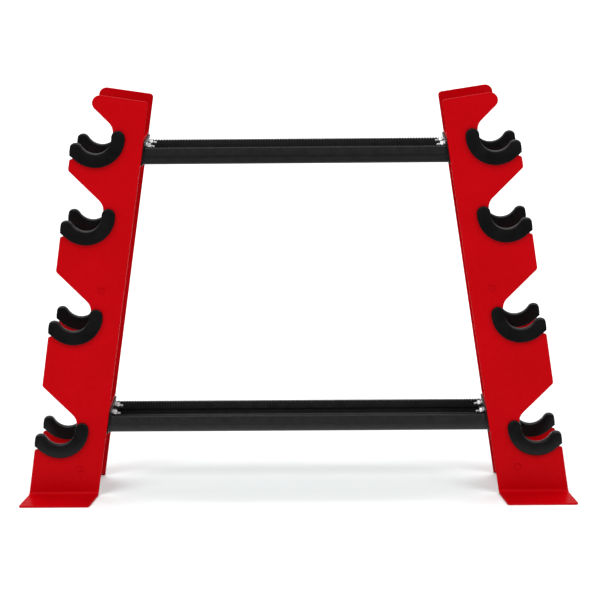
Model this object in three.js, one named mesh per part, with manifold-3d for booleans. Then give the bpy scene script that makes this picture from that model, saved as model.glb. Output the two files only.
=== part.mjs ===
// Free-standing dumbbell rack: two leaning sheet-steel towers joined by two channel beams, with moulded
// rubber cradles on saw-tooth seats.
// Millimetres; +X right, -Y front, +Z up. The feet rest on Z = 0, and X = Y = 0 is the middle.
import * as THREE from "three";
import { mergeVertices } from "three/addons/utils/BufferGeometryUtils.js";
import Module from "manifold-3d";

// Towers
const leanAngle = 8.6; // degrees that each tower leans inward toward its top
const outerEdgeAtFloor = 411.5; // X where the line of the outer edges meets the floor
const uprightWidth = 106; // along X, from outer edge to inner edge
const innerTopHeight = 602; // height of the inner top corner
const sheet = 3; // thickness of the upright, bracket and foot
const plateGap = 98; // clear depth between the front and the rear upright
const bendRadius = 5; // inside radius of the foot bend
const footReach = 58; // from the upright's face to the free edge of its foot
const footCorner = 4;
const topCorner = 5.5;
const noseRadius = 11.5; // rounded tip of the top hook

// Seats in the uprights; their heights run from the bottom row to the top row
const seatHeights = [105.5, 281.5, 434, 550];
const seatInset = 34; // from the outer edge line in to the seat centre, along X
const seatRadius = 26.5; // round seat cut in the upright
const notchRise = 67.5; // from the seat centre up to the corner above its notch
const notchSlope = 45.5; // degrees below level, of the notch's upper edge
const throatRadius = 20;
const notchCorner = 5.5;
const ledgeDrop = 31.5; // from the seat centre down to the ledge outboard of the seat
const ledgeCorner = 3.5;
const hornStep = 4; // the seat's horn stands this far in from the outer edge line
const hornDrop = 14; // from the seat centre down to the tip of the horn
const hornTipRadius = 2;
const hornUnderRadius = 4;

// Rubber cradles
const cradleInner = 24;
const cradleOuter = 44.5;
const cradleDepth = 13;
const cradleHornAngle = -31.5; // where the outboard horn ends, from level
const cradleStraightAngle = -52; // where the outer arc runs straight on to the flank
const flankProud = 1.2; // the flank stands out past the upright's outer edge
const flankCorner = 25; // from the seat centre down to the flank's lower corner
const flankCornerRadius = 2;

// Beams and their end joints
const beamTops = { lower: 123.5, upper: 533.5 }; // top of the edge trim
const beamHeight = 25.5; // with the trim
const beamDepth = 90;
const beamSheet = 2.5;
const beamBend = 5; // outside radius of the channel's lower bends
const trimWall = 2.2;
const trimHeight = 12.5;
const trimCorner = 1.8;
const endPlate = 2.5;
const endPlateAbove = 9; // above the bolts
const endPlateBelow = 27.5;
const endPlateTopCorner = 4;
const endPlateLowCorner = 2;
const bracketAbove = 12;
const bracketBelow = 28;
const bracketFlange = 22;
const bracketFold = 1.5; // inside radius
const boltSpacing = 44;
const boltDiameter = 6;
const boltHole = 6.8;
const boltLength = 19; // under the head
const hexAcross = 10; // across flats of head and nut
const headHeight = 4;
const nutHeight = 5;
const washerDiameter = 12;
const washerHeight = 1.6;
const gap = 0.3; // clearance between touching pieces
const cutterLength = 40; // a hole's cutter, longer than any sheet is thick

const wasm = await Module();
wasm.setup();

const radians = THREE.MathUtils.degToRad;
const degrees = THREE.MathUtils.radToDeg;
const lean = Math.tan(radians(leanAngle));
const outerX = (z) => outerEdgeAtFloor - lean * z;
const innerX = (z) => outerX(z) - uprightWidth;
const faceY = plateGap / 2 + sheet; // outward face of an upright

const finishes = {
  redCoat: { color: 0xb5060d, roughness: 0.42, metalness: 0.0 },
  blackCoat: { color: 0x1d1d1f, roughness: 0.5, metalness: 0.0 },
  rubber: { color: 0x191919, roughness: 0.65, metalness: 0.0 },
  trimRubber: { color: 0x141414, roughness: 0.8, metalness: 0.0 },
  zinc: { color: 0xb9bcc0, roughness: 0.35, metalness: 1.0 },
};

function namedMesh(name, geometry, finish) {
  const mesh = new THREE.Mesh(geometry, new THREE.MeshStandardMaterial(finishes[finish]));
  mesh.name = name;
  return mesh;
}

// Points of an arc round (cx, cy), from angle a0 to a1 in degrees, about one for every 15 degrees.
function arc(cx, cy, radius, a0, a1, step = 15) {
  const count = Math.max(1, Math.round(Math.abs(a1 - a0) / step));
  return Array.from({ length: count + 1 }, (_, i) => {
    const a = radians(a0 + ((a1 - a0) * i) / count);
    return new THREE.Vector2(cx + radius * Math.cos(a), cy + radius * Math.sin(a));
  });
}

// Rounds the corner b between a and c: an arc that touches both sides, radius / tan(half the corner) from b.
function fillet(a, b, c, radius, steps = 3) {
  const toA = a.clone().sub(b).normalize();
  const toC = c.clone().sub(b).normalize();
  const half = Math.acos(toA.dot(toC)) / 2;
  const start = b.clone().addScaledVector(toA, radius / Math.tan(half));
  const end = b.clone().addScaledVector(toC, radius / Math.tan(half));
  const centre = b.clone().addScaledVector(toA.add(toC).normalize(), radius / Math.sin(half));
  const a0 = start.clone().sub(centre).angle();
  let turn = end.clone().sub(centre).angle() - a0;
  if (turn > Math.PI) turn -= 2 * Math.PI;
  if (turn < -Math.PI) turn += 2 * Math.PI;
  return Array.from({ length: steps + 1 }, (_, i) => {
    const angle = a0 + (turn * i) / steps;
    return new THREE.Vector2(centre.x + radius * Math.cos(angle), centre.y + radius * Math.sin(angle));
  });
}

// A closed outline from corners [x, y, radius]; corners without a radius stay sharp.
function roundedOutline(corners) {
  const at = (i) => new THREE.Vector2(...corners[(i + corners.length) % corners.length]);
  const rounded = ([, , radius], i) => (radius ? fillet(at(i - 1), at(i), at(i + 1), radius) : [at(i)]);
  return corners.flatMap(rounded);
}

const sharp = (points) => points.map((p) => [p.x, p.y]);

// Extrudes an outline drawn in XZ along Y, from y0 to y1.
function extrudeAlongY(outline, y0, y1) {
  const options = { depth: y1 - y0, bevelEnabled: false };
  const lying = new THREE.ExtrudeGeometry(new THREE.Shape(outline), options);
  return lying.rotateX(Math.PI / 2).translate(0, y1, 0);
}

// Extrudes an outline drawn in YZ along X, from x0 to x1.
function extrudeAlongX(outline, x0, x1) {
  const options = { depth: x1 - x0, bevelEnabled: false };
  const shape = new THREE.Shape(outline);
  const standing = new THREE.ExtrudeGeometry(shape, options).rotateX(Math.PI / 2).rotateZ(Math.PI / 2);
  return standing.translate(x0, 0, 0);
}

function solidOf(geometry) {
  const bare = new THREE.BufferGeometry();
  bare.setAttribute("position", geometry.getAttribute("position").clone());
  bare.setIndex(geometry.index);
  const merged = mergeVertices(bare, 1e-4);
  const vertProperties = new Float32Array(merged.attributes.position.array);
  const triVerts = new Uint32Array(merged.index.array);
  return new wasm.Manifold(new wasm.Mesh({ numProp: 3, vertProperties, triVerts }));
}

function geometryOf(solid) {
  const mesh = solid.getMesh();
  const geometry = new THREE.BufferGeometry();
  geometry.setAttribute("position", new THREE.BufferAttribute(new Float32Array(mesh.vertProperties), 3));
  geometry.setIndex(new THREE.BufferAttribute(new Uint32Array(mesh.triVerts), 1));
  geometry.computeVertexNormals();
  return geometry;
}

function cut(body, ...tools) {
  return geometryOf(tools.reduce((solid, tool) => solid.subtract(solidOf(tool)), solidOf(body)));
}

// One seat as corners in its own (u outboard, w up) frame, from the ledge up to the throat. grow widens the
// steel, which gives the slot that a cradle needs round it.
function seatCorners(grow = 0) {
  const flank = (w) => seatInset - hornStep - lean * w + grow;
  const radius = seatRadius - grow;
  const tipDrop = -hornDrop + grow;
  const tipAngle = degrees(Math.asin(tipDrop / radius));
  const arcStart = tipAngle - 8; // leaves the tip room for its rounding
  return [
    [flank(-ledgeDrop), -ledgeDrop + grow],
    [flank(tipDrop), tipDrop, hornUnderRadius],
    [radius * Math.cos(radians(tipAngle)), tipDrop, hornTipRadius],
    ...sharp(arc(0, 0, radius, arcStart, -180, 16)),
  ];
}

// The upper edge of a notch in the same frame: w = notchRise - (u0 - u) tan(slope), where u0 is on the
// outer edge.
const slope = Math.tan(radians(notchSlope));
const noseU = seatInset - lean * notchRise;
const throatTop = notchRise - (noseU + seatRadius) * slope;

// The right upright's outline in XZ above the foot bend, counterclockwise from its inner bottom corner.
function uprightOutline(bottom) {
  const corners = [
    [innerX(bottom), bottom],
    [outerX(bottom), bottom],
  ];
  seatHeights.forEach((z, row) => {
    const x = outerX(z) - seatInset;
    const place = ([u, w, radius]) => [x + u, z + w, radius];
    corners.push([outerX(z - ledgeDrop), z - ledgeDrop, ledgeCorner]);
    corners.push(...seatCorners().map(place));
    corners.push([x - seatRadius, z + throatTop, throatRadius]);
    if (row < seatHeights.length - 1) corners.push([x + noseU, z + notchRise, notchCorner]);
  });
  // The top edge stands square to the lean and meets the top notch's slope in the nose.
  const z = seatHeights.at(-1);
  const x = outerX(z) - seatInset;
  const innerTop = innerX(innerTopHeight);
  const noseX = (innerTopHeight - lean * innerTop - (z + notchRise - (x + noseU) * slope)) / (slope - lean);
  corners.push([noseX, innerTopHeight + lean * (noseX - innerTop), noseRadius]);
  corners.push([innerTop, innerTopHeight, topCorner]);
  return roundedOutline(corners);
}

// The foot, section by section down the bend and out along the floor. Each section is [y, z] on the upper
// face, [y, z] on the lower face, and how far it lies from the bend's start along the sheet's middle.
function footSections() {
  const centreY = -faceY - bendRadius;
  const centreZ = sheet + bendRadius;
  const outside = bendRadius + sheet;
  const bend = arc(0, 0, 1, 0, -90, 15).map((p, i, all) => ({
    upper: [centreY + bendRadius * p.x, centreZ + bendRadius * p.y],
    lower: [centreY + outside * p.x, centreZ + outside * p.y],
    run: (bendRadius + sheet / 2) * (Math.PI / 2) * (i / (all.length - 1)),
    inset: 0,
  }));
  const bendRun = bend.at(-1).run;
  const flatEnd = footReach - bendRadius;
  const flat = arc(0, 0, footCorner, 0, 90, 22.5).map((p) => ({
    upper: [centreY - (flatEnd - footCorner + p.y), sheet],
    lower: [centreY - (flatEnd - footCorner + p.y), 0],
    run: bendRun + flatEnd - footCorner + p.y,
    inset: footCorner - p.x,
  }));
  return [...bend, ...flat];
}

// One bent sheet: the upright's two faces and edges, and the foot lofted on to its open lower edge. The
// foot's side edges keep the slant of the flat blank: x grows by tan(lean) for each millimetre along it.
function uprightGeometry() {
  const bottom = sheet + bendRadius;
  const outline = uprightOutline(bottom);
  const positions = [];
  const quad = (a, b, c, d) => positions.push(...a, ...b, ...c, ...a, ...c, ...d);
  const front = (p) => [p.x, -faceY, p.y];
  const back = (p) => [p.x, -faceY + sheet, p.y];
  for (const [i, j, k] of THREE.ShapeUtils.triangulateShape(outline, [])) {
    positions.push(...front(outline[i]), ...front(outline[j]), ...front(outline[k]));
    positions.push(...back(outline[k]), ...back(outline[j]), ...back(outline[i]));
  }
  for (let i = 1; i < outline.length; i++) {
    const [p, q] = [outline[i], outline[(i + 1) % outline.length]];
    quad(front(p), back(p), back(q), front(q));
  }
  const rings = footSections().map(({ upper, lower, run, inset }) => {
    const x0 = innerX(bottom) + lean * run + inset;
    const x1 = outerX(bottom) + lean * run - inset;
    return [[x0, ...upper], [x1, ...upper], [x1, ...lower], [x0, ...lower]];
  });
  for (let s = 1; s < rings.length; s++) {
    const [a, b] = [rings[s - 1], rings[s]];
    for (let k = 0; k < 4; k++) quad(a[k], b[k], b[(k + 1) % 4], a[(k + 1) % 4]);
  }
  quad(...rings.at(-1).reverse());
  return new THREE.BufferGeometry().setAttribute("position", new THREE.Float32BufferAttribute(positions, 3));
}

// A cradle round its seat: a crescent with two round horns, the outboard one trimmed along the upright's
// edge, and a slot from below for the seat.
function cradleGeometry() {
  const middle = (cradleInner + cradleOuter) / 2;
  const cap = (cradleOuter - cradleInner) / 2;
  const hornX = middle * Math.cos(radians(cradleHornAngle));
  const hornY = middle * Math.sin(radians(cradleHornAngle));
  const flank = (w) => seatInset + flankProud - lean * w;
  const reach = (flank(hornY) - hornX) * Math.cos(radians(leanAngle)); // square to the flank, from the horn
  const capMeetsFlank = leanAngle + degrees(Math.acos(reach / cap));
  const outline = roundedOutline([
    ...sharp(arc(-middle, 0, cap, 0, 180, 30)),
    ...sharp(arc(0, 0, cradleOuter, -180, cradleStraightAngle, 12).slice(1)),
    [flank(-flankCorner), -flankCorner, flankCornerRadius],
    ...sharp(arc(hornX, hornY, cap, capMeetsFlank, 180 + cradleHornAngle, 30)),
    ...sharp(arc(0, 0, cradleInner, cradleHornAngle, -180, 14).slice(1, -1)),
  ]);
  const slotHalf = sheet / 2 + gap;
  const slot = roundedOutline([
    ...seatCorners(gap),
    [-seatRadius + gap, cradleInner],
    [-2 * cradleOuter, cradleInner],
    [-2 * cradleOuter, -2 * cradleOuter],
    [2 * cradleOuter, -2 * cradleOuter],
    [2 * cradleOuter, -ledgeDrop + gap],
  ]);
  const body = extrudeAlongY(outline, -cradleDepth / 2, cradleDepth / 2);
  return cut(body, extrudeAlongY(slot, -slotHalf, slotHalf));
}

// Slants both ends of an extrusion along X to run parallel to the towers' inner edges, short of them by
// shortBy square to the slant: x = innerX(z) - shortBy / cos(lean).
function mitreEnds(geometry, shortBy) {
  const position = geometry.getAttribute("position");
  for (let i = 0; i < position.count; i++) {
    const end = innerX(position.getZ(i)) - shortBy / Math.cos(radians(leanAngle));
    position.setX(i, Math.sign(position.getX(i)) * end);
  }
  return geometry;
}

// An open-topped channel with rounded lower bends, seen along X: out round the outside, back inside.
function channelGeometry(top) {
  const half = beamDepth / 2;
  const base = top - beamHeight;
  const lip = top - gap - trimWall;
  const inner = beamBend - beamSheet;
  const outline = roundedOutline([
    [-half, lip],
    [-half, base, beamBend],
    [half, base, beamBend],
    [half, lip],
    [half - beamSheet, lip],
    [half - beamSheet, base + beamSheet, inner],
    [-half + beamSheet, base + beamSheet, inner],
    [-half + beamSheet, lip],
  ]);
  return mitreEnds(extrudeAlongX(outline, -1, 1), endPlate + 2 * gap);
}

// The rubber trim pushed over one lip of the channel; side is -1 for the front lip and 1 for the rear.
function trimGeometry(top, side) {
  const wall = side * (beamDepth / 2 - beamSheet / 2);
  const inner = beamSheet / 2 + gap;
  const outer = inner + trimWall;
  const outline = roundedOutline([
    [wall - outer, top - trimHeight],
    [wall - inner, top - trimHeight],
    [wall - inner, top - trimWall],
    [wall + inner, top - trimWall],
    [wall + inner, top - trimHeight],
    [wall + outer, top - trimHeight],
    [wall + outer, top, trimCorner],
    [wall - outer, top, trimCorner],
  ]);
  return mitreEnds(extrudeAlongX(outline, -1, 1), endPlate + 4 * gap);
}

// A bolt hole's cutter along the joint's X, at depth y.
function boltHoleTool(y) {
  const radius = boltHole / 2;
  return new THREE.CylinderGeometry(radius, radius, cutterLength, 16).rotateZ(Math.PI / 2).translate(0, y, 0);
}

const boltPlaces = { front: -boltSpacing / 2, rear: boltSpacing / 2 };

// In a joint's frame X points outboard, square to the tower's inner edges, and Z runs up along them; the
// bolts lie at Z = 0 and the inner edges in X = 0.
function bracketGeometry() {
  const half = plateGap / 2 - gap;
  const channel = roundedOutline([
    [0, -half, sheet + bracketFold],
    [bracketFlange, -half],
    [bracketFlange, -half + sheet],
    [sheet, -half + sheet, bracketFold],
    [sheet, half - sheet, bracketFold],
    [bracketFlange, half - sheet],
    [bracketFlange, half],
    [0, half, sheet + bracketFold],
  ]);
  const options = { depth: bracketAbove + bracketBelow, bevelEnabled: false };
  const body = new THREE.ExtrudeGeometry(new THREE.Shape(channel), options).translate(0, 0, -bracketBelow);
  return cut(body, ...Object.values(boltPlaces).map(boltHoleTool));
}

function endPlateGeometry() {
  const half = beamDepth / 2;
  const outline = roundedOutline([
    [-half, -endPlateBelow, endPlateLowCorner],
    [half, -endPlateBelow, endPlateLowCorner],
    [half, endPlateAbove, endPlateTopCorner],
    [-half, endPlateAbove, endPlateTopCorner],
  ]);
  return cut(extrudeAlongX(outline, -endPlate - gap, -gap), ...Object.values(boltPlaces).map(boltHoleTool));
}

// A hexagon or round disc along the joint's X, from x0 to x1.
function discAlongX(radius, sides, x0, x1) {
  const disc = new THREE.CylinderGeometry(radius, radius, x1 - x0, sides);
  return disc.rotateZ(Math.PI / 2).translate((x0 + x1) / 2, 0, 0);
}

const hexRadius = hexAcross / 2 / Math.cos(Math.PI / 6);
const washerStart = -endPlate - 2 * gap; // the end plate's inboard face, less the clearance
const nutStart = washerStart - washerHeight - gap;

function boltGeometry() {
  const headStart = sheet + gap;
  const head = discAlongX(hexRadius, 6, headStart, headStart + headHeight);
  const shank = discAlongX(boltDiameter / 2, 16, headStart - boltLength, headStart + headHeight / 2);
  return geometryOf(solidOf(head).add(solidOf(shank)));
}

function washerGeometry() {
  const ring = discAlongX(washerDiameter / 2, 20, washerStart - washerHeight, washerStart);
  return cut(ring, discAlongX(boltDiameter / 2 + gap, 16, -cutterLength, cutterLength));
}

function nutGeometry() {
  const hexagon = discAlongX(hexRadius, 6, nutStart - nutHeight, nutStart);
  return cut(hexagon, discAlongX(boltDiameter / 2 + gap, 16, -cutterLength, cutterLength));
}

// The bolted joint at one end of a beam, in the frame of bracketGeometry.
function joint(name, height) {
  const group = new THREE.Group();
  group.position.set(innerX(height), 0, height);
  group.rotation.y = -radians(leanAngle);
  group.add(namedMesh(name + "_bracket", bracketGeometry(), "redCoat"));
  group.add(namedMesh(name + "_end_plate", endPlateGeometry(), "blackCoat"));
  for (const [place, y] of Object.entries(boltPlaces)) {
    const fastener = new THREE.Group();
    fastener.position.y = y;
    fastener.add(namedMesh(name + "_" + place + "_bolt", boltGeometry(), "zinc"));
    fastener.add(namedMesh(name + "_" + place + "_washer", washerGeometry(), "zinc"));
    fastener.add(namedMesh(name + "_" + place + "_nut", nutGeometry(), "zinc"));
    group.add(fastener);
  }
  return group;
}

// The front half of a tower: one upright and its four cradles, centred on the sheet.
function halfTower(name) {
  const group = new THREE.Group();
  group.add(namedMesh(name + "_upright", uprightGeometry(), "redCoat"));
  seatHeights.forEach((z, row) => {
    const cradle = namedMesh(name + "_cradle_" + (row + 1), cradleGeometry(), "rubber");
    cradle.position.set(outerX(z) - seatInset, -faceY + sheet / 2, z);
    group.add(cradle);
  });
  return group;
}

// A tower as the right one; the left one is its mirror image, and so is a rear half of a front half.
function tower(side) {
  const group = new THREE.Group();
  const rear = halfTower(side + "_rear");
  rear.scale.y = -1;
  group.add(halfTower(side + "_front"), rear);
  for (const [level, top] of Object.entries(beamTops)) group.add(joint(side + "_" + level, top));
  return group;
}

const rack = new THREE.Group();
const leftTower = tower("left");
leftTower.scale.x = -1;
rack.add(leftTower, tower("right"));
for (const [level, top] of Object.entries(beamTops)) {
  rack.add(namedMesh(level + "_beam", channelGeometry(top), "blackCoat"));
  rack.add(namedMesh(level + "_front_trim", trimGeometry(top, -1), "trimRubber"));
  rack.add(namedMesh(level + "_rear_trim", trimGeometry(top, 1), "trimRubber"));
}

export default rack;
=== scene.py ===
import math

import bmesh
import bpy
import numpy as np
from mathutils import Matrix, Vector


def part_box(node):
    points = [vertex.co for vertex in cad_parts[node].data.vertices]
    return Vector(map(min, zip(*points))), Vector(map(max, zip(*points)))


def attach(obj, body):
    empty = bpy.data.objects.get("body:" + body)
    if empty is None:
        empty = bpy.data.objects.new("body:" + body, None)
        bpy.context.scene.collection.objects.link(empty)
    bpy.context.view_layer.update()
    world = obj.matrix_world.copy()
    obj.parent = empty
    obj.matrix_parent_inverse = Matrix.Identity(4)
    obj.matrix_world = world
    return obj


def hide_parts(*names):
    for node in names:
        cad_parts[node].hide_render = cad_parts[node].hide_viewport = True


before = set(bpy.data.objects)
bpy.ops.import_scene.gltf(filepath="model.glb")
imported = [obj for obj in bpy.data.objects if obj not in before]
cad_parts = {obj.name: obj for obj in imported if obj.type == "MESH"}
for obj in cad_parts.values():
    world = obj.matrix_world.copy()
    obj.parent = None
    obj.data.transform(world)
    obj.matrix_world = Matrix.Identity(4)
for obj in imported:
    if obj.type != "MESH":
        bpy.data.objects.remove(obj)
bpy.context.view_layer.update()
mm = 0.001


tower = {
    "seatInset": 34 * mm,  # seat centre, in from the line of the outer edges
    "cradleOuter": 44.5 * mm,
    "hornTop": 10.25 * mm,  # the cradle's highest point above the seat centre
    "rows": 4,
}


def seatPlace(side, depth, row):
    # A seat's centre in X and Z: its cradle's box reaches cradleOuter inboard and hornTop above it.
    low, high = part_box(f"{side}_{depth}_cradle_{row}")
    x = low.x + tower["cradleOuter"] if side == "right" else high.x - tower["cradleOuter"]
    return x, high.z - tower["hornTop"]


seats = np.array([seatPlace("right", "front", row + 1) for row in range(tower["rows"])])
lean = (seats[0, 0] - seats[-1, 0]) / (seats[-1, 1] - seats[0, 1])
outerAtFloor = seats[0, 0] + tower["seatInset"] + lean * seats[0, 1]
cosLean, sinLean = math.cos(math.atan(lean)), math.sin(math.atan(lean))


def arc(centre, radius, start, end, count):
    # Points on a circle: centre + radius (cos a, sin a), a running evenly from start to end degrees.
    a = np.radians(np.linspace(start, end, count))
    return np.stack([centre[0] + radius * np.cos(a), centre[1] + radius * np.sin(a)], 1)


def filletAt(before, corner, after, radius, count):
    # The arc that touches both sides of a corner: it starts radius / tan(half angle) before the
    # corner, and its centre lies radius / sin(half angle) along the corner's bisector.
    u = (before - corner) / np.linalg.norm(before - corner)
    v = (after - corner) / np.linalg.norm(after - corner)
    half = math.acos(float(np.clip(u @ v, -1, 1))) / 2
    middle = corner + (u + v) / np.linalg.norm(u + v) * radius / math.sin(half)
    first = corner + u * radius / math.tan(half) - middle
    last = corner + v * radius / math.tan(half) - middle
    a0 = math.atan2(first[1], first[0])
    turn = (math.atan2(last[1], last[0]) - a0 + math.pi) % (2 * math.pi) - math.pi
    a = a0 + turn * np.linspace(0, 1, count)
    return middle + radius * np.stack([np.cos(a), np.sin(a)], 1)


def outline(corners, perFillet=9):
    # A closed path from corners (x, y, radius): each corner with a radius becomes its touching arc.
    points = np.array([c[:2] for c in corners], float)
    parts = []
    for i, c in enumerate(corners):
        if len(c) > 2 and c[2] > 0:
            after = points[(i + 1) % len(corners)]
            parts.append(filletAt(points[i - 1], points[i], after, c[2], perFillet))
        else:
            parts.append(points[i : i + 1])
    return np.concatenate(parts)


def outwardOf(path):
    # Outward unit normals of a closed anticlockwise path: the mean direction of a point's two sides,
    # turned a quarter right.
    ahead = np.roll(path, -1, 0) - path
    ahead /= np.linalg.norm(ahead, axis=1, keepdims=True)
    along = ahead + np.roll(ahead, 1, 0)
    along /= np.linalg.norm(along, axis=1, keepdims=True)
    return np.stack([along[:, 1], -along[:, 0]], 1)


def refined(path, step):
    # A closed path with its long sides cut into equal parts no longer than step.
    ahead = np.roll(path, -1, 0)
    parts = np.ceil(np.linalg.norm(ahead - path, axis=1) / step - 1e-6).astype(int)
    number = np.repeat(np.arange(len(path)), parts)
    share = (np.arange(len(number)) - np.repeat(np.cumsum(parts) - parts, parts)) / parts[number]
    return path[number] + (ahead - path)[number] * share[:, None]


def gridFaces(rows, columns, closeRows=False, closeColumns=False):
    # Quads between neighbouring rows and columns of a grid whose vertex (r, c) is number
    # r * columns + c.
    r = np.arange(rows if closeRows else rows - 1)[:, None]
    c = np.arange(columns if closeColumns else columns - 1)[None, :]
    r2, c2 = (r + 1) % rows, (c + 1) % columns
    quads = np.stack([r * columns + c, r * columns + c2, r2 * columns + c2, r2 * columns + c], -1)
    return quads.reshape(-1, 4)


def makePiece(name, vertices, faces, material, replaced, normals=None, flip=False, weld=0.0):
    # One closed piece in the rack's frame. flip turns every face round, for a mirrored copy, and weld
    # merges the points closer than that.
    faces = [list(map(int, f)) for f in faces]
    if flip:
        faces = [f[::-1] for f in faces]
    mesh = bpy.data.meshes.new(name)
    mesh.from_pydata(np.asarray(vertices, float).tolist(), [], faces)
    mesh.validate()
    mesh.polygons.foreach_set("use_smooth", np.ones(len(mesh.polygons), bool))
    piece = bpy.data.objects.new(name, mesh)
    bpy.context.scene.collection.objects.link(piece)
    if weld:
        bm = bmesh.new()
        bm.from_mesh(mesh)
        bmesh.ops.remove_doubles(bm, verts=bm.verts, dist=weld)
        bm.to_mesh(mesh)
        bm.free()
    elif normals is not None:
        mesh.normals_split_custom_set_from_vertices(np.asarray(normals, float).tolist())
    mesh.materials.append(material)
    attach(piece, "root")
    if replaced:
        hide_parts(*replaced)
    return piece


def nodesOf(name):
    # A new node material, its node tree and its main shader.
    material = bpy.data.materials.new(name)
    material.use_nodes = True
    tree = material.node_tree
    return material, tree, tree.nodes["Principled BSDF"]


def addNode(tree, kind, **values):
    # A new node: each value goes on its socket of that name, or else on the node's own setting.
    node = tree.nodes.new(kind)
    for key, value in values.items():
        if key in node.inputs:
            node.inputs[key].default_value = value
        else:
            setattr(node, key, value)
    return node


def noiseOf(tree, place, scale, detail, roughness=0.5):
    # Noise over the rack's own metres, with scale waves to the metre.
    node = addNode(tree, "ShaderNodeTexNoise", Scale=scale, Detail=detail, Roughness=roughness)
    tree.links.new(place.outputs["Object"], node.inputs["Vector"])
    return node.outputs["Fac"]


def rangeOf(tree, source, low, high, fromLow=0.3, fromHigh=0.7):
    # low + (high - low) * (source - fromLow) / (fromHigh - fromLow), held between low and high.
    node = addNode(tree, "ShaderNodeMapRange")
    for key, value in {"From Min": fromLow, "From Max": fromHigh, "To Min": low, "To Max": high}.items():
        node.inputs[key].default_value = value
    tree.links.new(source, node.inputs["Value"])
    return node.outputs["Result"]


def makeFinish(name, look):
    # Base colour = first + (second - first) * mottle. The roughness runs between its two ends by the
    # gloss noise, and the grain noise tilts the normal, by a strength and a depth in metres. A look
    # without a gloss or grain noise of its own uses the mottle. Each noise is its scale, its detail
    # and, where given, its roughness.
    material, tree, surface = nodesOf(name)
    place = tree.nodes.new("ShaderNodeTexCoord")
    mottle = noiseOf(tree, place, *look["mottle"])
    gloss = noiseOf(tree, place, *look["gloss"]) if "gloss" in look else mottle
    grain = noiseOf(tree, place, *look["grain"]) if "grain" in look else mottle
    mix = addNode(tree, "ShaderNodeMix", data_type="RGBA")
    colourSockets = [socket for socket in mix.inputs if socket.type == "RGBA"]
    for socket, colour in zip(colourSockets, look["colours"]):
        socket.default_value = (*colour, 1)
    tree.links.new(rangeOf(tree, mottle, 0, 1), mix.inputs["Factor"])
    mixed = next(socket for socket in mix.outputs if socket.type == "RGBA")
    tree.links.new(mixed, surface.inputs["Base Color"])
    tree.links.new(rangeOf(tree, gloss, *look["roughness"]), surface.inputs["Roughness"])
    strength, depth = look["bump"]
    bump = addNode(tree, "ShaderNodeBump", Strength=strength, Distance=depth)
    tree.links.new(grain, bump.inputs["Height"])
    tree.links.new(bump.outputs["Normal"], surface.inputs["Normal"])
    surface.inputs["Specular IOR Level"].default_value = look["specular"]
    surface.inputs["Metallic"].default_value = look["metal"]
    return material


# red powder coat: a fine orange peel and a faint mottle in colour and gloss
redLook = {
    "colours": ((0.380, 0.0002, 0.0020), (0.405, 0.0003, 0.0028)),
    "mottle": (14, 3),
    "gloss": (60, 4),
    "grain": (900, 1.5),
    "roughness": (0.24, 0.32),
    "bump": (0.25, 0.2 * mm),
    "specular": 0.03,  # low, so that the white floor doesn't wash out the red
    "metal": 0,
}

# black satin coat: a fine pebble and a slight cloud in gloss
blackLook = {
    "colours": ((0.0080, 0.0080, 0.0088), (0.0115, 0.0115, 0.0122)),
    "mottle": (90, 4),
    "grain": (1400, 2),
    "roughness": (0.30, 0.38),
    "bump": (0.35, 0.2 * mm),
    "specular": 0.4,
    "metal": 0,
}

# moulded rubber of the cradles: near black, with the mould's fine grain and a faint bloom
cradleLook = {
    "colours": ((0.0035, 0.0035, 0.0037), (0.0060, 0.0060, 0.0063)),
    "mottle": (45, 5, 0.6),
    "grain": (2200, 2),
    "roughness": (0.18, 0.26),
    "bump": (0.3, 0.15 * mm),
    "specular": 0.13,
    "metal": 0,
}

# extruded rubber of the edge trims: matt, with a coarser grain
trimLook = {
    "colours": ((0.005, 0.005, 0.0053), (0.009, 0.009, 0.0095)),
    "mottle": (80, 4),
    "grain": (1500, 3),
    "roughness": (0.5, 0.68),
    "bump": (0.4, 0.2 * mm),
    "specular": 0.25,
    "metal": 0,
}

# bright zinc: a fine patchy gloss
zincLook = {
    "colours": ((0.36, 0.365, 0.37), (0.60, 0.605, 0.60)),
    "mottle": (500, 4, 0.6),
    "roughness": (0.24, 0.40),
    "bump": (0.2, 0.1 * mm),
    "specular": 0.5,
    "metal": 1,
}

finishes = {
    "red_powder_coat": makeFinish("redPowderCoat", redLook),
    "black_powder_coat": makeFinish("blackPowderCoat", blackLook),
    "cradle_rubber": makeFinish("cradleRubber", cradleLook),
    "trim_rubber": makeFinish("trimRubber", trimLook),
    "zinc_plate": makeFinish("zincPlate", zincLook),
}
print("finishes made:", len(finishes))


upright = {
    "width": 106 * mm,  # along X
    "innerTop": 601.8 * mm,  # height of the inner top corner
    "sheet": 3 * mm,
    "bend": 5 * mm,  # inside radius of the foot bend
    "reach": 58 * mm,  # from the face to the foot's free edge
    "footCorner": 4 * mm,
    "topCorner": 5.5 * mm,
    "nose": 11.5 * mm,  # rounded tip of the top hook
    "seat": 26.5 * mm,  # radius of the round seat in the sheet
    "rise": 67.5 * mm,  # seat centre to the corner above the notch
    "slope": math.tan(math.radians(45.5)),  # of the notch's upper edge
    "throat": 20 * mm,
    "notchCorner": 5.5 * mm,
    "ledgeDrop": 31.5 * mm,  # seat centre down to the ledge outboard of it
    "ledgeCorner": 3.5 * mm,
    "ledgeRoot": 0.3 * mm,
    "hornStep": 4 * mm,
    "hornDrop": 14 * mm,
    "hornUnder": 4 * mm,
    "hornTip": 2 * mm,
    "hornBlend": 8,  # degrees from the horn's tip to where the seat's arc starts
    "edge": 0.7 * mm,  # rounding of the cut edges under the coat
    "edgeSteps": 4,
    "bendSteps": 16,
    "footSteps": 8,
    "seatSteps": 40,
    "cornerSteps": 11,
}


def outerX(z):
    # The right tower's outer edge: its place at the floor, less lean times the height.
    return outerAtFloor - lean * z


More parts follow.
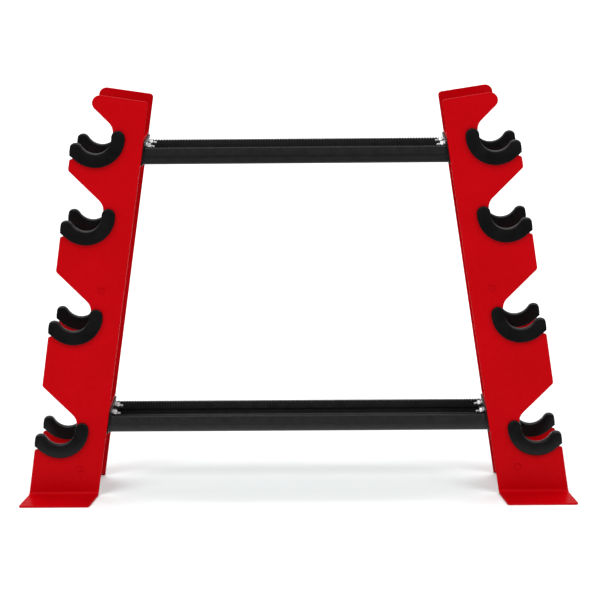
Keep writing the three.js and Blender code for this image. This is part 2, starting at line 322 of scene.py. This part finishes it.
def innerX(z):
    # The right tower's inner edge: the outer edge less the width.
    return outerX(z) - upright["width"]


def uprightPath():
    # The flat blank's outline in (x, s), anticlockwise: x across and s up the sheet, equal to z above
    # the bend. It starts at the foot's outboard corner, and the rows of the bend come at equal steps
    # on both side edges.
    u = upright
    bendTop = u["sheet"] + u["bend"]
    bendRun = (u["bend"] + u["sheet"] / 2) * math.pi / 2
    end = bendTop - bendRun - (u["reach"] - u["bend"])
    levels = bendTop - bendRun * np.linspace(1, 0, u["bendSteps"] + 1)
    endOuter, endInner = np.array([outerX(end), end]), np.array([innerX(end), end])
    footOuter = filletAt(endInner, endOuter, np.array([outerX(0), 0]), u["footCorner"], u["footSteps"])
    footInner = filletAt(np.array([innerX(0), 0]), endInner, endOuter, u["footCorner"], u["footSteps"])
    noseU = tower["seatInset"] - lean * u["rise"]
    corners = [(outerX(bendTop), bendTop)]
    for row, (x, z) in enumerate(seats):
        tip = -math.asin(u["hornDrop"] / u["seat"])
        ledge, horn = z - u["ledgeDrop"], z - u["hornDrop"]
        corners.append((outerX(ledge), ledge, u["ledgeCorner"]))
        corners.append((outerX(ledge) - u["hornStep"], ledge, u["ledgeRoot"]))
        corners.append((outerX(horn) - u["hornStep"], horn, u["hornUnder"]))
        corners.append((x + u["seat"] * math.cos(tip), horn, u["hornTip"]))
        seatStart = math.degrees(tip) - u["hornBlend"]
        corners += [(*p, 0) for p in arc((x, z), u["seat"], seatStart, -180, u["seatSteps"])]
        corners.append((x - u["seat"], z + u["rise"] - (noseU + u["seat"]) * u["slope"], u["throat"]))
        if row < len(seats) - 1:
            corners.append((x + noseU, z + u["rise"], u["notchCorner"]))
    x, z = seats[-1]
    top, inner = u["innerTop"], innerX(u["innerTop"])
    nose = (top - lean * inner - (z + u["rise"] - (x + noseU) * u["slope"])) / (u["slope"] - lean)
    corners += [(nose, top + lean * (nose - inner), u["nose"]), (inner, top, u["topCorner"])]
    corners.append((innerX(bendTop), bendTop))
    upper = outline(corners, u["cornerSteps"])
    outerRows = np.stack([outerX(levels), levels], 1)
    innerRows = np.stack([innerX(levels[::-1]), levels[::-1]], 1)
    path = np.concatenate([footOuter, outerRows[:-1], upper, innerRows[1:], footInner])
    firstRow = len(footOuter)
    lastRow = firstRow + u["bendSteps"] + len(upper) + u["bendSteps"] - 1
    return path, firstRow, lastRow, bendTop, bendRun


def bentSheet(x, s, t, bendTop, bendRun):
    # Folds the blank: above bendTop it stands up, then it turns a quarter circle of radius bend + t
    # round an axis in front of the face, and then lies on the floor. Returns places and the two local
    # directions along s and t.
    run = np.clip(bendTop - s, 0, bendRun)
    angle = run / bendRun * math.pi / 2
    radius = upright["bend"] + t
    beyond = np.maximum(bendTop - s - bendRun, 0)
    above = np.maximum(s - bendTop, 0)
    y = -faceY - upright["bend"] + radius * np.cos(angle) - beyond
    z = bendTop - radius * np.sin(angle) + above
    zero = np.zeros_like(x)
    return (
        np.stack([x, y, z], -1),
        np.stack([zero, np.sin(angle), np.cos(angle)], -1),
        np.stack([zero, np.cos(angle), -np.sin(angle)], -1),
    )


def roundedSlab(path, thickness, edge, steps, faceLists=None):
    # A closed outline carried through a sheet: a quarter circle of radius edge in from one face, the
    # flat wall, and the same out to the other face. The two faces are the polygons of faceLists, or
    # one each over the whole outline.
    outward = outwardOf(path)
    phi = np.linspace(0, math.pi / 2, steps + 1)
    shrink = np.concatenate([edge * np.sin(phi) - edge, (edge * np.sin(phi) - edge)[::-1]])
    depth = np.concatenate([edge - edge * np.cos(phi), thickness - (edge - edge * np.cos(phi))[::-1]])
    sideways = np.concatenate([np.sin(phi), np.sin(phi)[::-1]])[:, None, None] * outward
    through = np.concatenate([-np.cos(phi), np.cos(phi)[::-1]])
    flat = path[None] + outward[None] * shrink[:, None, None]
    depth = np.broadcast_to(depth[:, None], flat.shape[:2])
    through = np.broadcast_to(through[:, None], flat.shape[:2])
    rings, points = flat.shape[:2]
    faces = gridFaces(rings, points, closeColumns=True).tolist()
    for face in faceLists or [list(range(points))]:
        faces.append(face[::-1])
        faces.append([(rings - 1) * points + i for i in face])
    return flat, depth, sideways, through, faces


# the outward faces of the front uprights lie at -faceY, and those of the rear ones at faceY
faceY = upright["sheet"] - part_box("right_front_upright")[1].y


def uprightMesh():
    # The blank as a rounded slab, bent; its faces are one polygon above the bend, one on the foot,
    # and strips across the bend between them.
    path, firstRow, lastRow, bendTop, bendRun = uprightPath()
    points, bends = len(path), upright["bendSteps"]
    upper = list(range(firstRow + bends, lastRow - bends + 1))
    lower = list(range(lastRow, points)) + list(range(0, firstRow + 1))
    strips = [[firstRow + k, firstRow + k + 1, lastRow - k - 1, lastRow - k] for k in range(bends)]
    flat, depth, sideways, through, faces = roundedSlab(
        path, upright["sheet"], upright["edge"], upright["edgeSteps"], [upper, lower, *strips]
    )
    place, upSheet, intoSheet = bentSheet(flat[..., 0], flat[..., 1], depth, bendTop, bendRun)
    across = sideways[..., :1] * np.array([1.0, 0, 0])
    normal = across + sideways[..., 1:] * upSheet + through[..., None] * intoSheet
    return place.reshape(-1, 3), faces, normal.reshape(-1, 3)


uprightVertices, uprightFaces, uprightNormals = uprightMesh()
for side, sx in (("left", -1), ("right", 1)):
    for depth, sy in (("front", 1), ("rear", -1)):
        turn = np.array([sx, sy, 1.0])
        makePiece(
            f"{side}_{depth}_upright_sheet", uprightVertices * turn, uprightFaces,
            finishes["red_powder_coat"], [f"{side}_{depth}_upright"],
            uprightNormals * turn, flip=sx * sy > 0,
        )
print("uprights made:", len(uprightVertices), "points each")

stamp = {
    "heights": (44 * mm, 321 * mm),
    "fromEdge": 71.5 * mm,  # in from the outer edge, along X
    "radius": 4.6 * mm,
    "halfWidth": 1.2 * mm,
    "proud": 1.1 * mm,
    "root": 0.1 * mm,  # how deep it sits in the plate
    "aroundSteps": 64,
    "acrossSteps": 11,
}


def stampMesh():
    # A low plain ridge pressed up in the plate: half an ellipse, halfWidth by proud, carried round a
    # circle, and closed by a flat back at depth root.
    around = np.radians(np.linspace(0, 360, stamp["aroundSteps"], endpoint=False))
    across = np.radians(np.linspace(0, 180, stamp["acrossSteps"]))
    reach = stamp["radius"] + stamp["halfWidth"] * np.cos(across)
    rise = -stamp["proud"] * np.sin(across)
    reach = np.append(reach, [reach[-1], reach[0]])
    rise = np.append(rise, [stamp["root"], stamp["root"]])
    x, z = reach[:, None] * np.cos(around), reach[:, None] * np.sin(around)
    place = np.stack([x, np.broadcast_to(rise[:, None], x.shape), z], -1)
    return place.reshape(-1, 3), gridFaces(len(reach), len(around), closeRows=True, closeColumns=True)


stampVertices, stampFaces = stampMesh()
for side, sx in (("left", -1), ("right", 1)):
    for number, z in enumerate(stamp["heights"], 1):
        placed = (stampVertices + [outerX(z) - stamp["fromEdge"], -faceY, z]) * [sx, 1, 1]
        makePiece(f"{side}_stamp_ring_{number}", placed, stampFaces, finishes["red_powder_coat"],
                  [], flip=sx < 0)
print("stamped rings made:", 2 * len(stamp["heights"]))


cradle = {
    "inner": 24 * mm,
    "outer": 44.5 * mm,
    "halfDepth": 6.5 * mm,
    "hornAngle": -31.5,  # degrees, of the outboard horn
    "straightAngle": -52,  # the outer arc runs straight on from here to the flank
    "flankProud": 1.2 * mm,
    "flankCorner": 25 * mm,
    "edge": 1.3 * mm,
    "crown": 0.35 * mm,  # the faces swell this much from the rounded edge to the middle line
    "partingLine": 0.14 * mm,
    "partingHalf": (0.45 * mm, 0.2 * mm),  # half width of the parting line at its foot and at its top
    "flankBlend": 0.5 * mm,
    "hornBlend": 0.35 * mm,
    "lowSteps": 44,  # round the bottom, up to a degree before the turn toward the flank
    "turnAngle": -55,
    "turnSteps": 26,
    "capSteps": 25,
    "edgeSteps": 8,
    "faceShares": (1, 0.75, 0.5, 0.25),  # rows of a face, from the middle line to the rounded edge
}


def softMin(a, b, k):
    # The smaller of two lengths, rounded over where they cross: -k log(exp(-a / k) + exp(-b / k)).
    return np.minimum(a, b) - k * np.log1p(np.exp(-np.abs(a - b) / k))


def cradleOutline():
    # The crescent's edge, anticlockwise round the seat centre, and for each of its points the nearest
    # point of the middle line, a circle of the mean radius from horn to horn. The outboard horn is
    # cut off by the flank.
    c = cradle
    middle, cap = (c["inner"] + c["outer"]) / 2, (c["outer"] - c["inner"]) / 2
    low = np.linspace(-180, c["turnAngle"] - 1, c["lowSteps"])
    turning = np.linspace(c["turnAngle"], c["hornAngle"], c["turnSteps"])
    along = np.radians(np.concatenate([low, turning]))
    ray = np.stack([np.cos(along), np.sin(along)], 1)
    flankAtZero = tower["seatInset"] + c["flankProud"]
    toFlank = flankAtZero / (ray[:, 0] + lean * ray[:, 1])
    straightFrom = math.radians(c["straightAngle"])
    start = c["outer"] * np.array([math.cos(straightFrom), math.sin(straightFrom)])
    corner = np.array([flankAtZero + lean * c["flankCorner"], -c["flankCorner"]])
    step = corner - start
    toLine = (start[0] * step[1] - start[1] * step[0]) / (ray[:, 0] * step[1] - ray[:, 1] * step[0])
    straight = along > straightFrom
    cutOff = softMin(np.where(straight, toLine, 1), np.where(straight, toFlank, 1), c["flankBlend"])
    reach = np.where(straight, cutOff, c["outer"])
    capAngles = np.radians(np.linspace(0, 180, c["capSteps"]))
    horn = middle * ray[-1]
    hornAngles = capAngles + along[-1]
    hornRay = np.stack([np.cos(hornAngles), np.sin(hornAngles)], 1)
    towardFlank = np.maximum(hornRay[:, 0] + lean * hornRay[:, 1], 1e-3)
    toSide = (flankAtZero - lean * horn[1] - horn[0]) / towardFlank
    hornReach = softMin(np.full(len(hornAngles), cap), toSide, c["hornBlend"])
    hornReach[-1] = cap
    inboard = np.array([-middle, 0.0])
    edge = np.concatenate([
        inboard + cap * np.stack([np.cos(capAngles), np.sin(capAngles)], 1)[:-1],
        (ray * reach[:, None])[:-1],
        (horn + hornRay * hornReach[:, None])[:-1],
        (ray * c["inner"])[::-1][:-1],
    ])
    spine = np.concatenate([
        np.repeat(inboard[None], len(capAngles) - 1, 0),
        (ray * middle)[:-1],
        np.repeat(horn[None], len(hornAngles) - 1, 0),
        (ray * middle)[::-1][:-1],
    ])
    return edge, spine


def cradleMesh():
    # Rows across the crescent: from the middle line of the front face out to the edge, over a quarter
    # round, along the wall with its raised parting line, and back to the rear face's middle line.
    c = cradle
    edge, spine = cradleOutline()
    room = np.linalg.norm(edge - spine, axis=1)
    inward = (spine - edge) / room[:, None]
    theta = np.radians(np.linspace(90, 0, c["edgeSteps"]))
    wall = c["partingLine"]
    shoulder = c["halfDepth"] - c["crown"]
    inset = [wall + c["edge"] + (room - wall - c["edge"]) * share for share in c["faceShares"]]
    inset += [np.full_like(room, wall + c["edge"] * (1 - math.cos(a))) for a in theta]
    inset += [np.full_like(room, wall), np.full_like(room, 0.0)]
    level = [-(c["halfDepth"] - c["crown"] * (1 - share) ** 2) for share in c["faceShares"]]
    level += [-(shoulder - c["edge"] + c["edge"] * math.sin(a)) for a in theta]
    level += [-half for half in c["partingHalf"]]
    inset = np.array(inset + inset[::-1])
    level = np.array(level + [-v for v in level[::-1]])
    flat = edge[None] + inward[None] * inset[:, :, None]
    place = np.stack([flat[..., 0], np.broadcast_to(level[:, None], flat.shape[:2]), flat[..., 1]], -1)
    faces = gridFaces(len(level), len(edge), closeColumns=True)[:, ::-1]
    return place.reshape(-1, 3), faces


cradleVertices, cradleFaces = cradleMesh()
cradleY = faceY - upright["sheet"] / 2
for row, (x, z) in enumerate(seats):
    for side, sx in (("left", -1), ("right", 1)):
        for depth, sy in (("front", 1), ("rear", -1)):
            placed = (cradleVertices + [x, -cradleY, z]) * [sx, sy, 1]
            makePiece(
                f"{side}_{depth}_cradle_{row + 1}_rubber", placed, cradleFaces, finishes["cradle_rubber"],
                [f"{side}_{depth}_cradle_{row + 1}"], flip=sx * sy < 0, weld=0.01 * mm,
            )
print("cradles made:", len(cradleVertices), "points each")


beam = {
    "height": 25.5 * mm,  # with the trim
    "sheet": 2.5 * mm,
    "bend": 5 * mm,
    "lipDrop": 2.5 * mm,  # the channel's lip lies this far under the trim's top
    "lipRound": 0.8 * mm,
    "shortBy": 3.1 * mm,  # from the towers' inner edges, square to the slant
    "edge": 0.3 * mm,
    "edgeSteps": 3,
}

trim = {
    "shortBy": 3.7 * mm,
    "inner": 1.55 * mm,  # half the slot that takes the lip
    "wall": 2.2 * mm,
    "height": 12.5 * mm,
    "topCorner": 1.8 * mm,
    "toe": 0.9 * mm,
    "pitch": 4.2 * mm,  # from rib to rib
    "grooveDepth": 1.1 * mm,
    "grooveDown": 5.0 * mm,  # the grooves fade out this far below the top
    "grooveAt": (-1.15 * mm, -0.85 * mm, -0.55 * mm, 0, 0.55 * mm, 0.85 * mm, 1.15 * mm),
    "grooveShare": (0, 0.4, 1, 1, 1, 0.4, 0),  # of grooveDepth, at each place of grooveAt
    "slotCorner": 0.3 * mm,
    "skinStep": 1.4 * mm,  # longest side of the section
    "cornerSteps": 6,
    "plainEnd": 1.2 * mm,  # without grooves, at each end
    "endRound": ((0, 0.5 * mm), (0.15 * mm, 0.15 * mm), (0.5 * mm, 0)),  # in from the end, in from the skin
}


def slantedEnd(z, shortBy):
    # Half the length of a beam at height z: the towers' inner edge, less shortBy square to it.
    return innerX(z) - shortBy / cosLean


def channelMesh(top, halfDepth):
    # The channel's section as a rounded slab of unit depth, pulled along X: the half of the depth
    # below 0.5 goes to the left end and the rest to the right end, each slanted with its tower.
    b = beam
    base, lip = top - b["height"], top - b["lipDrop"]
    half, inside = halfDepth, halfDepth - b["sheet"]
    section = outline([
        (-half, lip, b["lipRound"]), (-half, base, b["bend"]),
        (half, base, b["bend"]), (half, lip, b["lipRound"]),
        (inside, lip, b["lipRound"]), (inside, base + b["sheet"], b["bend"] - b["sheet"]),
        (-inside, base + b["sheet"], b["bend"] - b["sheet"]), (-inside, lip, b["lipRound"]),
    ])
    flat, depth, sideways, through, faces = roundedSlab(section, 1.0, b["edge"], b["edgeSteps"])
    end = slantedEnd(flat[..., 1], b["shortBy"])
    x = np.where(depth < 0.5, -end + depth, end - (1.0 - depth))
    place = np.stack([x, flat[..., 0], flat[..., 1]], -1)
    normal = np.stack([through, sideways[..., 0], sideways[..., 1]], -1)
    return place.reshape(-1, 3), faces, normal.reshape(-1, 3)


def trimMesh(top, wallY):
    # The trim's U section carried along X. In each groove the outer skin sinks by grooveDepth, times
    # the groove's share at that place along X, times sqrt(1 - distance below the top / grooveDown).
    t = trim
    outer = t["inner"] + t["wall"]
    low = top - t["height"]
    section = refined(outline([
        (-outer, low, t["toe"]), (-t["inner"], low, t["toe"]),
        (-t["inner"], top - t["wall"], t["slotCorner"]), (t["inner"], top - t["wall"], t["slotCorner"]),
        (t["inner"], low, t["toe"]), (outer, low, t["toe"]),
        (outer, top, t["topCorner"]), (-outer, top, t["topCorner"]),
    ], t["cornerSteps"]), t["skinStep"])
    outward = outwardOf(section)
    isSkin = (np.abs(section[:, 0]) > t["inner"] + t["wall"] / 2) | (section[:, 1] > top - t["wall"] / 2)
    fade = np.clip(1 - (top - section[:, 1]) / t["grooveDown"], 0, 1) ** 0.5 * isSkin
    shortest = slantedEnd(top, t["shortBy"]) - t["plainEnd"]
    ribs = int(shortest / t["pitch"] - 0.5)
    centres = np.arange(-ribs, ribs + 1) * t["pitch"]
    alongX = (centres[:, None] + np.array(t["grooveAt"])[None]).ravel()
    sinkX = np.tile(t["grooveShare"], len(centres))
    skin = section[None] - outward[None] * (sinkX[:, None] * fade[None] * t["grooveDepth"])[..., None]
    x = np.broadcast_to(alongX[:, None], skin.shape[:2])
    ends = []
    for inset, pull in t["endRound"]:
        ring = section - outward * pull
        ends.append((slantedEnd(ring[:, 1], t["shortBy"]) - inset, ring))
    x = np.concatenate([[-e for e, _ in ends], x, [e for e, _ in ends[::-1]]])
    skin = np.concatenate([[r for _, r in ends], skin, [r for _, r in ends[::-1]]])
    place = np.stack([x, skin[..., 0] + wallY, skin[..., 1]], -1)
    rows, points = x.shape
    faces = gridFaces(rows, points, closeColumns=True).tolist()
    faces += [list(range(points))[::-1], [(rows - 1) * points + i for i in range(points)]]
    return place.reshape(-1, 3), faces


beamTops = {}
for level in ("lower", "upper"):
    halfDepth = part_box(f"{level}_beam")[1].y
    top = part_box(f"{level}_front_trim")[1].z
    beamTops[level] = top
    vertices, faces, normals = channelMesh(top, halfDepth)
    makePiece(f"{level}_beam_channel", vertices, faces, finishes["black_powder_coat"],
              [f"{level}_beam"], normals)
    for depth, sy in (("front", -1), ("rear", 1)):
        vertices, faces = trimMesh(top, sy * (halfDepth - beam["sheet"] / 2))
        makePiece(f"{level}_{depth}_trim_strip", vertices, faces, finishes["trim_rubber"],
                  [f"{level}_{depth}_trim"])
print("beams and trims made:", len(vertices), "points in the last trim")


joint = {
    "bracketUp": 12 * mm,
    "bracketDown": 28 * mm,
    "bracketFlange": 22 * mm,
    "bracketSheet": 3 * mm,
    "bracketHalf": 48.7 * mm,
    "fold": 1.5 * mm,
    "flangeCorner": 0.8 * mm,
    "plateHalf": 45 * mm,
    "plateUp": 9 * mm,
    "plateDown": 27.5 * mm,
    "plate": 2.5 * mm,
    "plateLowCorner": 2 * mm,
    "plateHighCorner": 4 * mm,
    "edge": 0.5 * mm,  # rounding of the cut edges of the bracket and the plate
    "edgeSteps": 3,
    "boltApart": 44 * mm,
    "gap": 0.3 * mm,
}

fastener = {
    "diameter": 6 * mm,
    "length": 19 * mm,  # under the head
    "pitch": 1 * mm,
    "threadDepth": 0.55 * mm,
    "threaded": 13 * mm,
    "threadSteps": 8,  # rows to a turn
    "threadFromTip": 0.6 * mm,
    "runOut": 0.2 * mm,  # from the thread's end to the plain shank
    "tipRows": ((0, 0), (0, 0.7), (0.1 * mm, 0.76), (0.35 * mm, 0.86)),  # from the tip, share of the radius
    "across": 10 * mm,  # between the flats of head and nut
    "head": 4 * mm,
    "nut": 5 * mm,
    "nutHole": 5.8 * mm,
    "countersink": (0.4 * mm, 0.5 * mm),  # in from the nut's end, out from its hole
    "chamferShare": 0.95,  # where the chamfer's cone starts, as a share of the flats' half width
    "chamferRows": (0, 0.12 * mm, 0.25 * mm, 0.38 * mm, 0.5 * mm, 0.62 * mm),  # in from the hexagon's end
    "cornerCut": 0.1 * mm,
    "washer": 1.6 * mm,
    "washerAcross": 12 * mm,
    "washerSlack": 0.2 * mm,  # of its hole, round the shank
    "washerRound": 0.3 * mm,
    "washerSteps": 4,
}


def jointToRack(place, side, top):
    # From a joint's own frame, x outboard square to the tower's inner edge and z up along it, to the
    # rack's frame.
    x = innerX(top) + place[..., 0] * cosLean - place[..., 2] * sinLean
    z = top + place[..., 0] * sinLean + place[..., 2] * cosLean
    return np.stack([side * x, place[..., 1], z], -1).reshape(-1, 3)


def turnNormals(normal, side):
    # The same turn and mirror for directions: x cos lean - z sin lean, and x sin lean + z cos lean.
    x = normal[..., 0] * cosLean - normal[..., 2] * sinLean
    z = normal[..., 0] * sinLean + normal[..., 2] * cosLean
    return np.stack([side * x, normal[..., 1], z], -1).reshape(-1, 3)


def bracketMesh():
    # A U of folded sheet, drawn in x and y, as a rounded slab along the joint's z.
    j = joint
    half, thick, fold = j["bracketHalf"], j["bracketSheet"], j["fold"]
    flange, corner = j["bracketFlange"], j["flangeCorner"]
    section = outline([
        (0, -half, thick + fold), (flange, -half, corner), (flange, -half + thick, corner),
        (thick, -half + thick, fold), (thick, half - thick, fold), (flange, half - thick, corner),
        (flange, half, corner), (0, half, thick + fold),
    ])
    height = j["bracketUp"] + j["bracketDown"]
    flat, depth, sideways, through, faces = roundedSlab(section, height, j["edge"], j["edgeSteps"])
    place = np.stack([flat[..., 0], flat[..., 1], depth - j["bracketDown"]], -1)
    return place, np.stack([sideways[..., 0], sideways[..., 1], through], -1), faces


def endPlateMesh():
    # A flat plate, drawn in y and z, as a rounded slab along the joint's x.
    j = joint
    half, lowCorner, highCorner = j["plateHalf"], j["plateLowCorner"], j["plateHighCorner"]
    section = outline([
        (-half, -j["plateDown"], lowCorner), (half, -j["plateDown"], lowCorner),
        (half, j["plateUp"], highCorner), (-half, j["plateUp"], highCorner),
    ])
    flat, depth, sideways, through, faces = roundedSlab(section, j["plate"], j["edge"], j["edgeSteps"])
    place = np.stack([depth - j["plate"] - j["gap"], flat[..., 0], flat[..., 1]], -1)
    return place, np.stack([through, sideways[..., 0], sideways[..., 1]], -1), faces


# The hexagon's angles, in degrees within each sixth, and its radius at each: flatHalf divided by the
# cosine of the angle from the flat's middle, with the sharp corners cut by cornerCut.
sixth = np.array([0, 1.6, 9, 18, 30, 42, 51, 58.4])
hexAngles = np.radians((60 * np.arange(6)[:, None] + sixth[None]).ravel())
flatHalf = fastener["across"] / 2
fromFlat = np.mod(hexAngles, math.pi / 3) - math.pi / 6
hexReach = np.minimum(flatHalf / np.cos(fromFlat), flatHalf * 2 / math.sqrt(3) - fastener["cornerCut"])


def spun(rowsX, rowsR):
    # A surface round the joint's x axis: row i lies at rowsX[i], with radius rowsR[i] at the
    # hexagon's angles.
    x = np.array([np.broadcast_to(v, hexAngles.shape) for v in rowsX])
    r = np.array([np.broadcast_to(v, hexAngles.shape) for v in rowsR])
    return np.stack([x, r * np.cos(hexAngles), r * np.sin(hexAngles)], -1)


def hexRows(start, end, chamferFirst, chamferLast):
    # Rows along a hexagon whose corners are cut by 30 degree cones: the radius is the smaller of the
    # hexagon's and flatHalf * chamferShare + sqrt(3) * the distance from the chamfered end.
    inset = np.array(fastener["chamferRows"])
    cone = flatHalf * fastener["chamferShare"] + math.sqrt(3) * inset
    uncut = np.full(len(inset), np.inf)
    x = np.concatenate([start + inset, end - inset[::-1]])
    cut = np.concatenate([cone if chamferFirst else uncut, cone[::-1] if chamferLast else uncut])
    return list(x), [np.minimum(hexReach, c) for c in cut]


def boltMesh():
    # From the tip's middle out over its chamfer, along the thread, where the radius sinks by half the
    # thread's depth times 1 + cos(2 pi (x / pitch) - angle), along the plain shank, out under the
    # head and over the head's top.
    f = fastener
    radius = f["diameter"] / 2
    headStart = joint["bracketSheet"] + joint["gap"]
    tip = headStart - f["length"]
    threadEnd = tip + f["threaded"]
    rowsX = [tip + along for along, share in f["tipRows"]]
    rowsR = [radius * share for along, share in f["tipRows"]]
    for x in np.arange(tip + f["threadFromTip"], threadEnd, f["pitch"] / f["threadSteps"]):
        wave = 0.5 + 0.5 * np.cos(2 * math.pi * x / f["pitch"] - hexAngles)
        ease = min((threadEnd - x) / f["pitch"], 1.0)
        rowsX.append(x)
        rowsR.append(radius - f["threadDepth"] * wave * ease)
    hexX, hexR = hexRows(headStart, headStart + f["head"], False, True)
    rowsX += [threadEnd + f["runOut"], headStart, *hexX, headStart + f["head"]]
    rowsR += [radius, radius, *hexR, 0.0]
    place = spun(rowsX, rowsR)
    return place, gridFaces(*place.shape[:2], closeColumns=True)


def ringMesh(rowsX, rowsR):
    # A closed section in (x, radius) taken round the joint's x axis.
    place = spun(rowsX, rowsR)
    return place, gridFaces(*place.shape[:2], closeRows=True, closeColumns=True)


washerStart = -joint["plate"] - 2 * joint["gap"]
nutStart = washerStart - fastener["washer"] - joint["gap"]


def washerMesh():
    # A flat ring whose outer edges are quarter circles: in x by round * (1 - cos a), in radius by
    # round * (1 - sin a).
    f = fastener
    x0, x1 = washerStart - f["washer"], washerStart
    r0, r1 = f["diameter"] / 2 + f["washerSlack"], f["washerAcross"] / 2
    corner = np.radians(np.linspace(0, 90, f["washerSteps"]))
    inX, inR = f["washerRound"] * (1 - np.cos(corner)), f["washerRound"] * (1 - np.sin(corner))
    rowsX = [x0, *(x0 + inX), *(x1 - inX[::-1]), x1]
    rowsR = [r0, *(r1 - inR), *(r1 - inR[::-1]), r0]
    return ringMesh(rowsX, rowsR)


def nutMesh():
    # A hexagon with both ends chamfered, and a countersunk hole.
    x0, x1 = nutStart - fastener["nut"], nutStart
    hole = fastener["nutHole"] / 2
    sink, flare = fastener["countersink"]
    hexX, hexR = hexRows(x0, x1, True, True)
    rowsX = [x0 + sink, x0, *hexX, x1, x1 - sink]
    rowsR = [hole, hole + flare, *hexR, hole + flare, hole]
    return ringMesh(rowsX, rowsR)


bracketPlace, bracketNormal, bracketFaces = bracketMesh()
platePlace, plateNormal, plateFaces = endPlateMesh()
fasteners = {"bolt": boltMesh(), "washer": washerMesh(), "nut": nutMesh()}
for side, sx in (("left", -1), ("right", 1)):
    for level, top in beamTops.items():
        name = f"{side}_{level}"
        makePiece(f"{name}_bracket_web", jointToRack(bracketPlace, sx, top), bracketFaces,
                  finishes["red_powder_coat"], [f"{name}_bracket"],
                  turnNormals(bracketNormal, sx), flip=sx < 0)
        makePiece(f"{name}_end_plate_coated", jointToRack(platePlace, sx, top), plateFaces,
                  finishes["black_powder_coat"], [f"{name}_end_plate"],
                  turnNormals(plateNormal, sx), flip=sx < 0)
        for depth, sy in (("front", -1), ("rear", 1)):
            for kind, (place, faces) in fasteners.items():
                shifted = place + [0, sy * joint["boltApart"] / 2, 0]
                makePiece(f"{name}_{depth}_{kind}_zinc", jointToRack(shifted, sx, top), faces,
                          finishes["zinc_plate"], [f"{name}_{depth}_{kind}"],
                          flip=sx < 0, weld=0.001 * mm)
print("joints made:", len(beamTops) * 2)


stage = {
    "floorSize": 60.0,
    "sheetLow": (-0.75, -0.30),  # the part of the floor that shows in the coats
    "sheetHigh": (0.75, 3.2),
    "floorColour": (0.88, 0.9, 0.9),
    "floorRoughness": 0.9,
    "floorSpecular": 0.1,
    "skyStrength": 0.55,
    "groundStrength": 0.1,  # what glossy surfaces see below the horizon
    "horizon": 0.06,  # how far above and below the horizon the two blend, as the direction's z
    "lampDistance": 4,
}


def makeFloor():
    # A plain pale floor, far wider than the view. Only a sheet round the rack shows in glossy
    # surfaces; the rest is a frame of four quads round that sheet.
    half = stage["floorSize"] / 2
    (x0, y0), (x1, y1) = stage["sheetLow"], stage["sheetHigh"]
    inner = [(x0, y0, 0), (x1, y0, 0), (x1, y1, 0), (x0, y1, 0)]
    outer = [(-half, -half, 0), (half, -half, 0), (half, half, 0), (-half, half, 0)]
    frameFaces = [(4, 5, 1, 0), (5, 6, 2, 1), (6, 7, 3, 2), (7, 4, 0, 3)]
    material, _, surface = nodesOf("paleFloor")
    surface.inputs["Base Color"].default_value = (*stage["floorColour"], 1)
    surface.inputs["Roughness"].default_value = stage["floorRoughness"]
    surface.inputs["Specular IOR Level"].default_value = stage["floorSpecular"]
    sheet, rest = ("studioSheet", inner, [(0, 1, 2, 3)]), ("studioFloor", inner + outer, frameFaces)
    for name, points, faces in (sheet, rest):
        mesh = bpy.data.meshes.new(name)
        mesh.from_pydata(points, [], faces)
        mesh.materials.append(material)
        floor = bpy.data.objects.new(name, mesh)
        floor.visible_glossy = name == "studioSheet"
        bpy.context.scene.collection.objects.link(floor)


lights = {
    # name: elevation, azimuth from the front toward +x, apparent width, strength
    "overheadSoftbox": (72, 180, 34, 1.6),
    "frontLeftSoftbox": (50, -35, 34, 1.35),
    "frontRightSoftbox": (46, 42, 34, 1.15),
}


def makeLights():
    # Distant soft lamps, so the light is the same all over the stage: each shines down its own -z,
    # which points from its place on the sky toward the rack.
    for name, (elevation, azimuth, width, strength) in lights.items():
        e, a = math.radians(elevation), math.radians(azimuth)
        toLight = Vector((math.cos(e) * math.sin(a), -math.cos(e) * math.cos(a), math.sin(e)))
        lamp = bpy.data.lights.new(name, "SUN")
        lamp.energy = strength
        lamp.angle = math.radians(width)
        holder = bpy.data.objects.new(name, lamp)
        holder.location = toLight * stage["lampDistance"]
        holder.rotation_euler = toLight.to_track_quat("Z", "Y").to_euler()
        bpy.context.scene.collection.objects.link(holder)


view = {
    "place": (0.0413, -3.0693, 0.9698),
    "pitch": 12.444,  # degrees
    "yaw": 0.689,
    "roll": -0.53,
    "lens": 124.157,
    "sensor": 36.0,
}


def makeCamera():
    # Looks along +y, tipped down by pitch, turned by yaw about z, and rolled about its own axis.
    data = bpy.data.cameras.new("studioCamera")
    data.lens, data.sensor_width = view["lens"], view["sensor"]
    camera = bpy.data.objects.new("studioCamera", data)
    camera.location = view["place"]
    turn = Matrix.Rotation(math.radians(view["yaw"]), 3, "Z")
    tip = Matrix.Rotation(math.radians(90 - view["pitch"]), 3, "X")
    roll = Matrix.Rotation(math.radians(view["roll"]), 3, "Z")
    camera.rotation_euler = (turn @ tip @ roll).to_euler()
    bpy.context.scene.collection.objects.link(camera)
    bpy.context.scene.camera = camera


def makeWorld():
    # Even soft light from above the horizon and dim light from below it: strength follows the
    # direction's z.
    world = bpy.data.worlds.new("studioWorld")
    bpy.context.scene.world = world
    world.use_nodes = True
    tree = world.node_tree
    place = tree.nodes.new("ShaderNodeTexCoord")
    split = tree.nodes.new("ShaderNodeSeparateXYZ")
    tree.links.new(place.outputs["Generated"], split.inputs["Vector"])
    dim, bright, horizon = stage["groundStrength"], stage["skyStrength"], stage["horizon"]
    strength = rangeOf(tree, split.outputs["Z"], dim, bright, -horizon, horizon)
    tree.links.new(strength, tree.nodes["Background"].inputs["Strength"])
    tree.nodes["Background"].inputs["Color"].default_value = (1, 1, 1, 1)


makeFloor()
makeLights()
makeCamera()
makeWorld()
bpy.context.scene.view_settings.view_transform = "Standard"
print("stage set")
